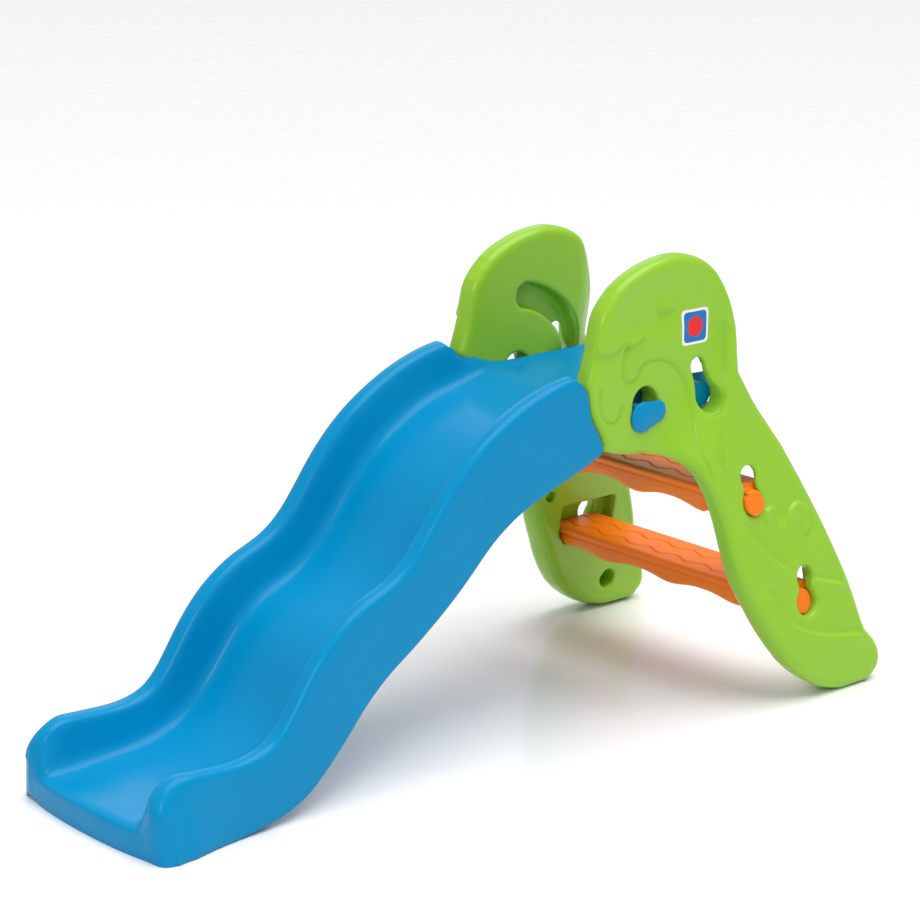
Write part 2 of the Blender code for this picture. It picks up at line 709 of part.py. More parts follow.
def make_step(name, shape):
    knob, stand, socket = shape["knob"], shape["stand"], shape["socket"]
    half = PANEL_IN + flare(shape["front"] + shape["depth"] / 2, shape["top"]) + socket
    free = half - socket - thicker(shape["top"] - shape["height"] - shape["wave"])
    rings = []
    for k in range(STEP_RINGS + 1):
        share = 2.0 * k / STEP_RINGS - 1.0
        inside = half * share
        swing = 0.5 + 0.5 * math.cos(2 * math.pi * (inside - shape["wave_at"]) / WAVE_PITCH)
        fade = smoothstep((free - 0.004 - abs(inside)) / WAVE_FADE)
        ring = []
        for x, z in step_section(shape, shape["wave"] * swing ** 1.5 * fade):
            reach = PANEL_IN + flare(x, z) + socket - GAP
            ring.append((x, share * reach, z))
        rings.append(ring)
    step = new_object(name, loft(rings, name), ORANGE)
    outer = PANEL_IN + PANEL_T
    for side, word in ((-1, "left"), (1, "right")):
        rings = []
        places = [(PANEL_IN - 0.03, 0.0)]
        for degrees in (0, 45, 90):
            a = math.radians(degrees)
            end = outer + stand - KNOB_EDGE * (1.0 - math.sin(a))
            places.append((end, KNOB_EDGE * (1.0 - math.cos(a))))
        for y, smaller in places:
            circle = arc(knob[0], knob[1], KNOB_R - smaller, 0, 345, 23)
            rings.append([(x, side * (y + flare(x, z)), z) for x, z in circle])
        stub = new_object("%s_%s_knob" % (word, name), loft(rings, "knob"))
        add_boolean(step, stub, 'UNION')
    finish(step)


def main():
    for obj in list(bpy.data.objects):
        bpy.data.objects.remove(obj)
    axis = bpy.data.objects.new("fold_axis", None)
    axis.location = (PIVOT[0], 0.0, PIVOT[1])
    bpy.context.scene.collection.objects.link(axis)
    chute = make_chute()
    chute.parent = axis
    chute.matrix_parent_inverse.translation = (-PIVOT[0], 0.0, -PIVOT[1])
    make_panels()
    for name, shape in STEP_SHAPES.items():
        make_step(name, shape)


main()
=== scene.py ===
"""Finished look of the folding toddler slide.

The chute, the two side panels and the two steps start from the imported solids.
Here they get their softened moulded edges, the raised lines and hollows of the
panels, the grooves of the steps, the filled corners of the exit, the rounded
caps of the pivots and their plastics.  A plain label and a studio with a pale
floor go with them.
"""

import math

import bpy
import numpy as np
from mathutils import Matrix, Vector


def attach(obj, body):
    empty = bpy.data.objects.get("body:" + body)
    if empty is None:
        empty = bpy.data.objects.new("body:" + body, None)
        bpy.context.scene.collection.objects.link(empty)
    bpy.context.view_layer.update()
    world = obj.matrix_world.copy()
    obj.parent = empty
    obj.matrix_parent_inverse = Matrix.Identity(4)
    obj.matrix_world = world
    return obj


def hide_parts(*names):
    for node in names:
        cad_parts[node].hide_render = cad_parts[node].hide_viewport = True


bl_info = {
    "name": "Folding Toddler Slide",
    "version": (1, 0, 0),
    "blender": (4, 5, 0),
    "location": "3D View > Sidebar > Toddler Slide",
    "description": "Finishes the mouldings of a folding toddler slide",
    "category": "Object",
}

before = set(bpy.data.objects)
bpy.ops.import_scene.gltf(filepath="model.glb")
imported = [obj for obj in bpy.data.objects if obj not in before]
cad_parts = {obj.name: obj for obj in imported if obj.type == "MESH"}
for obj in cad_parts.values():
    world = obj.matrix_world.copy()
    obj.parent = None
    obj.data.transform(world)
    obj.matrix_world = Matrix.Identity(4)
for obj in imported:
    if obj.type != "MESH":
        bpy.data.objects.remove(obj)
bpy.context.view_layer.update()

# Places that the solids have too (metres)
PANEL_FACE = 0.168          # |y| of a panel's outer face where it stands upright
STEP_SPANS = {
    "lower_step": (0.443, 0.548, 0.183),    # front x, rear x, top z
    "upper_step": (0.373, 0.473, 0.356),
}

# Distance within which loose corners of a solid's triangles are joined
MERGE = 0.00002
# A length too short to divide by, and one beyond everything
TINY = 1e-9
BEYOND = 1e9
# Degrees up to which neighbouring triangles of the chute join into quads
QUAD_FACE = 30
QUAD_SHAPE = 60
# Edges of the chute that are sharper than this many degrees stay crisp
CRISP_ABOVE = 48
CRISPNESS = 0.9
# Degrees below which an edge is shaded smooth
CHUTE_SHADE = 55
MOULD_SHADE = 60
LABEL_SHADE = 40
# Rounds of smoothing, each of which moves a vertex half way
SOFTENING = 0.5
PANEL_ROUNDS = 6
STEP_ROUNDS = 3
CORNER_ROUNDS = 6
CAP_ROUNDS = 8

# Raised edges on a panel's outer face, as (x, z).  The side to the left of the
# way they run stands higher, or the right side where the sign is -1.
RAISED_EDGES = (
    (1, ((0.146, 0.607), (0.162, 0.600), (0.185, 0.595), (0.201, 0.599), (0.215, 0.612))),
    (1, ((0.215, 0.611), (0.223, 0.601), (0.235, 0.602), (0.251, 0.607), (0.260, 0.615))),
    (1, ((0.283, 0.653), (0.290, 0.649), (0.302, 0.645), (0.316, 0.645), (0.327, 0.648))),
    (1, ((0.421, 0.618), (0.420, 0.597), (0.416, 0.559), (0.411, 0.518), (0.401, 0.478),
         (0.390, 0.433), (0.380, 0.381))),
    (-1, ((0.433, 0.193), (0.452, 0.167), (0.480, 0.130), (0.532, 0.104), (0.582, 0.092), (0.637, 0.083))),
    (-1, ((0.403, 0.303), (0.431, 0.267), (0.462, 0.234), (0.491, 0.211))),
    (-1, ((0.542, 0.189), (0.577, 0.178), (0.612, 0.167))),
    (-1, ((0.498, 0.274), (0.508, 0.296), (0.523, 0.310), (0.539, 0.310), (0.555, 0.298),
          (0.556, 0.282), (0.545, 0.265), (0.530, 0.260))),
    (-1, ((0.453, 0.286), (0.457, 0.305), (0.466, 0.314), (0.480, 0.313), (0.484, 0.302), (0.480, 0.284))),
)
# Soft grooves on the same face
SOFT_GROOVES = (
    ((0.226, 0.600), (0.218, 0.590), (0.214, 0.574), (0.213, 0.557), (0.219, 0.546), (0.230, 0.543),
     (0.242, 0.546), (0.247, 0.556), (0.258, 0.567), (0.275, 0.570), (0.295, 0.568), (0.318, 0.558),
     (0.333, 0.544), (0.344, 0.525), (0.348, 0.500), (0.349, 0.474), (0.343, 0.439), (0.347, 0.409),
     (0.359, 0.377)),
    ((0.166, 0.538), (0.167, 0.513), (0.175, 0.494), (0.192, 0.485), (0.206, 0.491), (0.211, 0.507)),
)
# A vertex is on that face if its normal's share of Y is above this, and it
# lies less than this far inside the upright face
OUTER_FACING = 0.6
OUTER_DEPTH = 0.012
# Length over which a raised edge comes up from its end
END_RISE = 0.008
# Wide hollow near the top of that face: middle (x, z), half length and height
HOLLOW = (0.275, 0.652, 0.088, 0.056)
# Where the chute's exit begins, and the height of the edge that lies on the floor
EXIT_FROM = -0.60
FLOOR_EDGE = 0.003
# Where each corner of the exit begins to turn (x, |y|)
EXIT_CORNER = (-0.620, 0.135)
# A vertex turns the corner if it lies this far beyond |y| of that place
CORNER_ASIDE = 0.020
# The filling comes up over this distance, and the power keeps it off the sides
CORNER_RISE = 0.020
CORNER_POWER = 2.5
# Heights between which the filling of those corners fades away
CORNER_FADE = (0.060, 0.120)
# The chute's pivot (x, z), and how near it the caps on its journals lie
PIVOT = (0.253, 0.485)
CAP_REACH = 0.065
# A journal: its reach round the pivot, and |y| from which it stands out of the chute
JOURNAL_REACH = 0.0222
JOURNAL_FROM = 0.129
# Lobes of a cap: distance from the pivot, radius and thickness; then their slope
CAP_LOBES = ((0.0, 0.0245, 0.0085), (0.0150, 0.0208, 0.0082), (0.0295, 0.0184, 0.0080))
CAP_TILT = math.radians(8)
# Middle of the label on the near panel (x, z), and y of the sheet before it is laid on
LABEL_PLACE = (0.363, 0.611)
LABEL_SHEET_Y = -0.25
# Thin raised rings on the chute's two outer faces: centre (x, z) and radius
BUBBLES = (
    (0.107, 0.478, 0.0127), (0.142, 0.461, 0.0064), (-0.016, 0.452, 0.0080),
    (-0.043, 0.420, 0.0207), (-0.589, 0.027, 0.0127),
)
# A vertex is on a step's top if its normal's share of Z is above this, and it
# lies less than this far below the top
TOP_FACING = 0.7
TOP_DEPTH = 0.004
# Where the wavy grooves run, as shares of a step's depth
GRIP_SHARES = (0.26, 0.64)

# Faces round a cap's balls and round the bubbles
BALL_FACES = (48, 24)
BUBBLE_FACES = (48, 10)
# Thickness of the label's sheet, as a multiple of how far it stands out
SHEET_DEPTH = 1.5

# How strongly the plastics bend light
REFRACTION = 1.5
# Noise in them, as scale and detail
CLOUDS = (7.0, 3.0)
PATCHES = (22.0, 4.0)
RIPPLE = (40.0, 1.0)
# Span of the patches, and what it takes from or adds to the roughness
PATCH_SPAN = (0.3, 0.7)
ROUGHNESS_SWING = (-0.04, 0.05)
RIPPLE_STRENGTH = 0.12
RIPPLE_HEIGHT = 0.0005

# Studio: each softbox has a name, place, target, size and power
SOFTBOXES = (
    ("softbox", (-2.9, -2.2, 2.3), (0.1, 0.0, 0.4), 1.1, 30.0),
    ("back softbox", (1.6, 2.6, 2.2), (0.0, 0.0, 0.3), 2.0, 8.0),
)
SUN_PLACE = (0.4, -0.5, 3.0)
SUN_POWER = 2.5
SUN_SPREAD = 55             # degrees
WORLD_LIGHT = 0.52
FLOOR_SIZE = 30.0
CAMERA_PLACE = (-2.795, -3.296, 1.642)
CAMERA_TARGET = (0.029, 0.0, 0.4218)
CAMERA_LENS = 115.15        # mm, on a sensor of this width
CAMERA_SENSOR = 36.0


class SlideSizes(bpy.types.PropertyGroup):
    """Sizes of the finish"""
    chute_levels: bpy.props.IntProperty(
        name="Chute levels", description="Subdivision levels of the chute", default=2, min=1, max=3)
    panel_voxel: bpy.props.FloatProperty(
        name="Panel mesh", description="Mesh size of the panels", default=0.0026, min=0.001,
        unit='LENGTH', subtype='DISTANCE')
    step_voxel: bpy.props.FloatProperty(
        name="Step mesh", description="Mesh size of the steps", default=0.0017, min=0.001,
        unit='LENGTH', subtype='DISTANCE')
    edge_height: bpy.props.FloatProperty(
        name="Raised edge", description="Height of the raised edges on the panels", default=0.0034,
        unit='LENGTH', subtype='DISTANCE')
    edge_slope: bpy.props.FloatProperty(
        name="Edge slope", description="Half width of the slope at a raised edge", default=0.0018,
        unit='LENGTH', subtype='DISTANCE')
    edge_fade: bpy.props.FloatProperty(
        name="Edge fade", description="Length over which a raised edge fades away", default=0.022,
        unit='LENGTH', subtype='DISTANCE')
    groove_depth: bpy.props.FloatProperty(
        name="Groove depth", description="Depth of the soft grooves on the panels", default=0.0034,
        unit='LENGTH', subtype='DISTANCE')
    groove_width: bpy.props.FloatProperty(
        name="Groove width", description="Half width of the soft grooves", default=0.0055,
        unit='LENGTH', subtype='DISTANCE')
    hollow_depth: bpy.props.FloatProperty(
        name="Hollow depth", description="Depth of the wide hollow at the panels' top", default=0.007,
        unit='LENGTH', subtype='DISTANCE')
    grip_depth: bpy.props.FloatProperty(
        name="Grip depth", description="Depth of the wavy grooves on the steps", default=0.0040,
        unit='LENGTH', subtype='DISTANCE')
    grip_width: bpy.props.FloatProperty(
        name="Grip width", description="Half width of the wavy grooves", default=0.0026,
        unit='LENGTH', subtype='DISTANCE')
    grip_start: bpy.props.FloatProperty(
        name="Grip start", description="How far the waves are shifted along the step", default=0.024,
        unit='LENGTH', subtype='DISTANCE')
    grip_wave: bpy.props.FloatProperty(
        name="Grip wave", description="How far the grooves swing to each side", default=0.006,
        unit='LENGTH', subtype='DISTANCE')
    grip_pitch: bpy.props.FloatProperty(
        name="Grip pitch", description="Length of one wave", default=0.065,
        unit='LENGTH', subtype='DISTANCE')
    front_groove: bpy.props.FloatProperty(
        name="Front groove", description="Depth of the straight groove along a step's front", default=0.0045,
        unit='LENGTH', subtype='DISTANCE')
    front_groove_width: bpy.props.FloatProperty(
        name="Front groove width", description="Half width of that groove", default=0.0042,
        unit='LENGTH', subtype='DISTANCE')
    front_groove_drop: bpy.props.FloatProperty(
        name="Front groove drop", description="How far below the top that groove runs", default=0.0150,
        unit='LENGTH', subtype='DISTANCE')
    corner_out: bpy.props.FloatProperty(
        name="Corner out", description="How far the exit's corners are filled out", default=0.0070,
        unit='LENGTH', subtype='DISTANCE')
    journal_share: bpy.props.FloatProperty(
        name="Journal share", description="Share of the journals' radius kept, for room in the keyholes",
        default=0.94, min=0.5, max=1.0)
    cap_voxel: bpy.props.FloatProperty(
        name="Cap mesh", description="Mesh size of the pivot caps", default=0.0011, min=0.0005,
        unit='LENGTH', subtype='DISTANCE')
    cap_gap: bpy.props.FloatProperty(
        name="Cap gap", description="Gap between a cap's back and the panel", default=0.0012,
        unit='LENGTH', subtype='DISTANCE')
    bubble_wire: bpy.props.FloatProperty(
        name="Bubble line", description="Radius of the bead that draws a bubble", default=0.0015,
        unit='LENGTH', subtype='DISTANCE')
    bubble_sunk: bpy.props.FloatProperty(
        name="Bubble sunk", description="Share of the bead's radius that its middle lies below the face",
        default=0.75, min=0.0, max=1.0)
    hold: bpy.props.FloatProperty(
        name="Hold", description="How far rounding may be undone along the chute", default=0.0003,
        unit='LENGTH', subtype='DISTANCE')
    hold_exit: bpy.props.FloatProperty(
        name="Hold at exit", description="How far rounding may be undone at the exit", default=0.0040,
        unit='LENGTH', subtype='DISTANCE')
    label_width: bpy.props.FloatProperty(
        name="Label width", description="Width of the square label", default=0.056,
        unit='LENGTH', subtype='DISTANCE')
    label_cells: bpy.props.IntProperty(
        name="Label cells", description="Cells along each side of the label", default=28, min=8)
    label_corner: bpy.props.FloatProperty(
        name="Label corner", description="Corner radius as a share of half the width", default=0.28)
    label_border: bpy.props.FloatProperty(
        name="Label border", description="White border as a share of half the width", default=0.11)
    label_dot: bpy.props.FloatProperty(
        name="Label dot", description="Red middle as a share of half the width", default=0.57)
    label_thickness: bpy.props.FloatProperty(
        name="Label thickness", description="Thickness of the label", default=0.0005,
        unit='LENGTH', subtype='DISTANCE')


class SlideColours(bpy.types.PropertyGroup):
    """Colours of the finish, in linear light"""
    blue: bpy.props.FloatVectorProperty(
        name="Blue", description="Plastic of the chute", subtype='COLOR', size=3, min=0, max=1,
        default=(0.0, 0.245, 0.500))
    green: bpy.props.FloatVectorProperty(
        name="Green", description="Plastic of the panels", subtype='COLOR', size=3, min=0, max=1,
        default=(0.275, 0.550, 0.028))
    orange: bpy.props.FloatVectorProperty(
        name="Orange", description="Plastic of the steps", subtype='COLOR', size=3, min=0, max=1,
        default=(0.920, 0.200, 0.008))
    label_blue: bpy.props.FloatVectorProperty(
        name="Label blue", description="Field of the label", subtype='COLOR', size=3, min=0, max=1,
        default=(0.004, 0.150, 0.470))
    label_red: bpy.props.FloatVectorProperty(
        name="Label red", description="Middle of the label", subtype='COLOR', size=3, min=0, max=1,
        default=(0.780, 0.010, 0.015))
    label_white: bpy.props.FloatVectorProperty(
        name="Label white", description="Border of the label", subtype='COLOR', size=3, min=0, max=1,
        default=(0.850, 0.850, 0.830))
    floor: bpy.props.FloatVectorProperty(
        name="Floor", description="Studio floor", subtype='COLOR', size=3, min=0, max=1,
        default=(0.940, 0.935, 0.940))


# Working with objects

def pick(*objects):
    """Selects these objects alone; the first is the active one."""
    bpy.ops.object.select_all(action='DESELECT')
    for obj in objects:
        obj.select_set(True)
    bpy.context.view_layer.objects.active = objects[0]


def apply_modifier(obj, kind, **settings):
    """Puts one modifier with these settings on a piece and applies it."""
    modifier = obj.modifiers.new(kind.title(), kind)
    for key, value in settings.items():
        setattr(modifier, key, value)
    pick(obj)
    bpy.ops.object.modifier_apply(modifier=modifier.name)


def merged_copy(node, name):
    """A copy of a solid's mesh with its loose triangles joined."""
    obj = bpy.data.objects.new(name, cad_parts[node].data.copy())
    bpy.context.scene.collection.objects.link(obj)
    obj.data.materials.clear()
    pick(obj)
    bpy.ops.object.mode_set(mode='EDIT')
    bpy.ops.mesh.select_all(action='SELECT')
    bpy.ops.mesh.remove_doubles(threshold=MERGE)
    bpy.ops.mesh.customdata_custom_splitnormals_clear()
    bpy.ops.mesh.select_all(action='DESELECT')
    bpy.ops.object.mode_set(mode='OBJECT')
    return obj


def smooth_shaded(obj, degrees):
    """Shades a piece smooth, but for edges sharper than this."""
    pick(obj)
    bpy.ops.object.shade_smooth_by_angle(angle=math.radians(degrees))


def settle(obj, node, body, materials):
    """Gives a finished piece its materials and body, and hides the solid it came from."""
    for material in materials:
        obj.data.materials.append(material)
    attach(obj, body)
    if node:
        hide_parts(node)


def subdivided(obj, sizes):
    """Subdivides a piece and moves its own vertices back towards where they
    were, by no more than the hold allows."""
    modifier = obj.modifiers.new("Rounding", 'SUBSURF')
    modifier.levels = sizes.chute_levels
    modifier.render_levels = sizes.chute_levels
    wanted, _ = mesh_arrays(obj)
    bpy.context.view_layer.update()
    seen = obj.evaluated_get(bpy.context.evaluated_depsgraph_get())
    places, _ = mesh_arrays(seen)
    shift = wanted - places[:len(wanted)]
    length = np.maximum(np.linalg.norm(shift, axis=1), TINY)
    hold = np.where(wanted[:, 0] < EXIT_FROM, sizes.hold_exit, sizes.hold)
    set_places(obj, wanted + shift * np.minimum(1.0, hold / length)[:, None])
    pick(obj)
    bpy.ops.object.modifier_apply(modifier=modifier.name)


def mesh_arrays(obj):
    """The places and normals of a piece's vertices, one row each."""
    count = len(obj.data.vertices)
    places = np.zeros(count * 3)
    normals = np.zeros(count * 3)
    obj.data.vertices.foreach_get("co", places)
    obj.data.vertices.foreach_get("normal", normals)
    return places.reshape(-1, 3), normals.reshape(-1, 3)


def set_places(obj, places):
    """Moves a piece's vertices to these places."""
    obj.data.vertices.foreach_set("co", places.reshape(-1))
    obj.data.update()


# Lines drawn on a surface

def smoothstep(t):
    """Rises from 0 to 1, level at both ends."""
    t = np.clip(t, 0.0, 1.0)
    return t * t * (3.0 - 2.0 * t)


def smooth_line(points, per_span=4):
    """A smooth line through a few points."""
    pts = [np.array(p, float) for p in points]
    pts = [2 * pts[0] - pts[1]] + pts + [2 * pts[-1] - pts[-2]]
    line = []
    for p0, p1, p2, p3 in zip(pts, pts[1:], pts[2:], pts[3:]):
        for k in range(per_span):
            t = k / per_span
            line.append(0.5 * (2 * p1 + (p2 - p0) * t + (2 * p0 - 5 * p1 + 4 * p2 - p3) * t ** 2
                               + (3 * p1 - p0 - 3 * p2 + p3) * t ** 3))
    line.append(pts[-2])
    return np.array(line)


def beside(line, flat):
    """Signed distance from a line, positive on its left, and how far along
    the line each place lies, in metres from the nearer end."""
    steps = np.linalg.norm(np.diff(line, axis=0), axis=1)
    starts = np.concatenate([[0.0], np.cumsum(steps)])
    nearest = np.full(len(flat), BEYOND)
    signed = np.full(len(flat), BEYOND)
    along = np.zeros(len(flat))
    for a, b, length, start in zip(line, line[1:], steps, starts):
        way = (b - a) / length
        rel = flat - a
        share = np.clip(rel @ way, 0.0, length)
        off = rel - share[:, None] * way
        distance = np.linalg.norm(off, axis=1)
        side = np.where(way[0] * rel[:, 1] - way[1] * rel[:, 0] >= 0.0, 1.0, -1.0)
        closer = distance < nearest
        nearest = np.where(closer, distance, nearest)
        signed = np.where(closer, side * distance, signed)
        along = np.where(closer, start + share, along)
    return signed, np.minimum(along, starts[-1] - along)


def panel_relief(flat, sizes):
    """How far a panel's outer face stands out at each (x, z)."""
    out = np.zeros(len(flat))
    for sign, points in RAISED_EDGES:
        signed, from_end = beside(smooth_line(points), flat)
        edge = np.tanh(sign * signed / sizes.edge_slope) * np.exp(-np.abs(signed) / sizes.edge_fade)
        out += sizes.edge_height * edge * smoothstep(from_end / (END_RISE + np.abs(signed)))
    for points in SOFT_GROOVES:
        signed, _ = beside(smooth_line(points), flat)
        out -= sizes.groove_depth * (1.0 - smoothstep(np.abs(signed) / sizes.groove_width))
    hollow_x, hollow_z, half_long, half_high = HOLLOW
    reach = ((flat[:, 0] - hollow_x) / half_long) ** 2 + ((flat[:, 1] - hollow_z) / half_high) ** 2
    out -= sizes.hollow_depth * (1.0 - smoothstep(reach))
    return out


# Plastics

def plastic(name, colour, roughness, speckle=0.03, gloss_level=0.35):
    """Moulded plastic: faint clouds in its colour and gloss, and a faint ripple."""
    material = bpy.data.materials.new(name)
    material.use_nodes = True
    nodes = material.node_tree.nodes
    links = material.node_tree.links
    shader = nodes["Principled BSDF"]
    shader.inputs["IOR"].default_value = REFRACTION
    shader.inputs["Specular IOR Level"].default_value = gloss_level
    place = nodes.new('ShaderNodeTexCoord')

    def noise(kind):
        scale, detail = kind
        node = nodes.new('ShaderNodeTexNoise')
        node.inputs["Scale"].default_value = scale
        node.inputs["Detail"].default_value = detail
        links.new(place.outputs["Object"], node.inputs["Vector"])
        return node

    clouds = noise(CLOUDS)
    tint = nodes.new('ShaderNodeMix')
    tint.data_type = 'RGBA'
    links.new(clouds.outputs["Fac"], tint.inputs["Factor"])
    tint.inputs["A"].default_value = [c * (1.0 - speckle) for c in colour] + [1.0]
    tint.inputs["B"].default_value = [min(c * (1.0 + speckle), 1.0) for c in colour] + [1.0]
    links.new(tint.outputs["Result"], shader.inputs["Base Color"])

    patches = noise(PATCHES)
    gloss = nodes.new('ShaderNodeMapRange')
    gloss.inputs["From Min"].default_value = PATCH_SPAN[0]
    gloss.inputs["From Max"].default_value = PATCH_SPAN[1]
    gloss.inputs["To Min"].default_value = roughness + ROUGHNESS_SWING[0]
    gloss.inputs["To Max"].default_value = roughness + ROUGHNESS_SWING[1]
    links.new(patches.outputs["Fac"], gloss.inputs["Value"])
    links.new(gloss.outputs["Result"], shader.inputs["Roughness"])

    ripple = noise(RIPPLE)
    waves = nodes.new('ShaderNodeBump')
    waves.inputs["Strength"].default_value = RIPPLE_STRENGTH
    waves.inputs["Distance"].default_value = RIPPLE_HEIGHT
    links.new(ripple.outputs["Fac"], waves.inputs["Height"])
    links.new(waves.outputs["Normal"], shader.inputs["Normal"])
    return material


# Pieces

class SLIDE_OT_chute(bpy.types.Operator):
    """Rounds the chute's moulding, its exit and its caps, and draws the bubbles"""
    bl_idname = "toddler_slide.chute"
    bl_label = "Chute"

    def execute(self, context):
        sizes = context.scene.slide_sizes
        colours = context.scene.slide_colours
        chute = merged_copy("chute", "chute_shell")
        solid, _ = mesh_arrays(chute)
        pick(chute)
        bpy.ops.object.mode_set(mode='EDIT')
        bpy.ops.mesh.select_all(action='SELECT')
        bpy.ops.mesh.tris_convert_to_quads(
            face_threshold=math.radians(QUAD_FACE), shape_threshold=math.radians(QUAD_SHAPE))
        bpy.ops.mesh.select_all(action='DESELECT')
        bpy.ops.mesh.select_mode(type='EDGE')
        bpy.ops.mesh.edges_select_sharp(sharpness=math.radians(CRISP_ABOVE))
        bpy.ops.object.mode_set(mode='OBJECT')
        self.leave_exit_soft(chute.data)
        bpy.ops.object.mode_set(mode='EDIT')
        bpy.ops.transform.edge_crease(value=CRISPNESS)
        bpy.ops.mesh.select_all(action='DESELECT')
        bpy.ops.object.mode_set(mode='OBJECT')
        subdivided(chute, sizes)
        self.fill_corners(chute, sizes)
        places, _ = mesh_arrays(chute)
        for axis in (0, 2):
            places[:, axis] = np.clip(places[:, axis], solid[:, axis].min(), solid[:, axis].max())
        set_places(chute, places)
        added = self.bubbles(sizes) + self.caps(chute, sizes)
        pick(chute, *added)
        bpy.ops.object.join()
        smooth_shaded(chute, CHUTE_SHADE)
        settle(chute, "chute", "slide",
               [plastic("blue moulded plastic", colours.blue, roughness=0.24, gloss_level=0.14)])
        return {'FINISHED'}

    def leave_exit_soft(self, mesh):
        """Takes the exit's edges out of the selection, but for its floor edge."""
        for edge in mesh.edges:
            ends = [mesh.vertices[index].co for index in edge.vertices]
            at_exit = max(end.x for end in ends) < EXIT_FROM
            on_floor = max(end.z for end in ends) < FLOOR_EDGE
            if at_exit and not on_floor:
                edge.select = False

    def fill_corners(self, chute, sizes):
        """Pushes the exit's two corners outwards, to a tighter turn."""
        places, _ = mesh_arrays(chute)
        ahead, aside = self.past_corner(places)
        turning = (ahead > 0.0) & (aside > CORNER_ASIDE) & (places[:, 2] > 2 * FLOOR_EDGE)
        group = chute.vertex_groups.new(name="Exit corners")
        group.add(np.flatnonzero(turning).tolist(), 1.0, 'REPLACE')
        apply_modifier(chute, 'SMOOTH', vertex_group=group.name, factor=SOFTENING,
                       iterations=CORNER_ROUNDS, use_z=False)
        places, _ = mesh_arrays(chute)
        ahead, aside = self.past_corner(places)
        turn = 2.0 * ahead * aside / np.maximum(ahead ** 2 + aside ** 2, TINY)
        low, high = CORNER_FADE
        fade = 1.0 - smoothstep((places[:, 2] - low) / (high - low))
        rise = smoothstep(np.hypot(ahead, aside) / CORNER_RISE)
        out = sizes.corner_out * turn ** CORNER_POWER * fade * rise
        places[:, 0] -= out
        places[:, 1] += np.where(places[:, 1] < 0.0, -1.0, 1.0) * out
        set_places(chute, places)

    def past_corner(self, places):
        """How far each place lies ahead of and aside from where a corner begins."""
        ahead = np.maximum(EXIT_CORNER[0] - places[:, 0], 0.0)
        aside = np.maximum(np.abs(places[:, 1]) - EXIT_CORNER[1], 0.0)
        return ahead, aside

    def caps(self, chute, sizes):
        """Sinks the journals' flat caps and makes rounded two lobed ones."""
        back = PANEL_FACE + sizes.cap_gap
        self.make_room(chute, back, sizes)
        return [self.cap(side, back, sizes) for side in (-1, 1)]

    def make_room(self, chute, back, sizes):
        """Draws the flat caps in to the new caps' backs, and makes the journals
        thinner, clear of the softened edges of the keyholes."""
        places, _ = mesh_arrays(chute)
        near = np.hypot(places[:, 0] - PIVOT[0], places[:, 2] - PIVOT[1]) < CAP_REACH
        proud = near & (np.abs(places[:, 1]) > back)
        places[proud, 1] = np.sign(places[proud, 1]) * back
        off = places[:, (0, 2)] - np.array(PIVOT)
        journal = (np.linalg.norm(off, axis=1) < JOURNAL_REACH) & (np.abs(places[:, 1]) > JOURNAL_FROM)
        places[np.ix_(journal, (0, 2))] = np.array(PIVOT) + off[journal] * sizes.journal_share
        set_places(chute, places)

    def cap(self, side, back, sizes):
        """One cap: flattened balls that run into each other, cut off at the back."""
        lobes = []
        for far, radius, thick in CAP_LOBES:
            spot = (PIVOT[0] + far * math.cos(CAP_TILT), side * back, PIVOT[1] + far * math.sin(CAP_TILT))
            bpy.ops.mesh.primitive_uv_sphere_add(
                segments=BALL_FACES[0], ring_count=BALL_FACES[1], radius=radius, location=spot)
            bpy.ops.transform.resize(value=(1.0, thick / radius, 1.0), center_override=spot)
            bpy.ops.object.transform_apply(location=True, rotation=True, scale=True)
            lobes.append(bpy.context.object)
        pick(*lobes)
        bpy.ops.object.join()
        cap = bpy.context.object
        apply_modifier(cap, 'REMESH', mode='VOXEL', voxel_size=sizes.cap_voxel)
        apply_modifier(cap, 'SMOOTH', factor=SOFTENING, iterations=CAP_ROUNDS)
        places, _ = mesh_arrays(cap)
        places[:, 1] = side * np.maximum(side * places[:, 1], back)
        set_places(cap, places)
        return cap

    def bubbles(self, sizes):
        """Beads that stand out a little from the chute's two sides."""
        rings = []
        for side in (-1, 1):
            for x, z, radius in BUBBLES:
                bpy.ops.mesh.primitive_torus_add(
                    location=(x, side * (PANEL_FACE - sizes.bubble_sunk * sizes.bubble_wire), z),
                    rotation=(math.radians(90), 0, 0), major_radius=radius,
                    minor_radius=sizes.bubble_wire,
                    major_segments=BUBBLE_FACES[0], minor_segments=BUBBLE_FACES[1])
                ring = bpy.context.object
                bpy.ops.object.transform_apply(location=True, rotation=True, scale=True)
                rings.append(ring)
        return rings


class SLIDE_OT_panels(bpy.types.Operator):
    """Softens the side panels and presses their relief into them"""
    bl_idname = "toddler_slide.panels"
    bl_label = "Side panels"

    def execute(self, context):
        sizes = context.scene.slide_sizes
        colours = context.scene.slide_colours
        green = plastic("green moulded plastic", colours.green, roughness=0.24)
        for side, node in ((-1, "left_panel"), (1, "right_panel")):
            panel = merged_copy(node, node + "_shell")
            apply_modifier(panel, 'REMESH', mode='VOXEL', voxel_size=sizes.panel_voxel)
            apply_modifier(panel, 'SMOOTH', factor=SOFTENING, iterations=PANEL_ROUNDS)
            places, normals = mesh_arrays(panel)
            outer = (normals[:, 1] * side > OUTER_FACING) & (places[:, 1] * side > PANEL_FACE - OUTER_DEPTH)
            relief = panel_relief(places[outer][:, (0, 2)], sizes)
            places[outer, 1] += side * relief
            set_places(panel, places)
            smooth_shaded(panel, MOULD_SHADE)
            settle(panel, node, "ladder", [green])
        return {'FINISHED'}


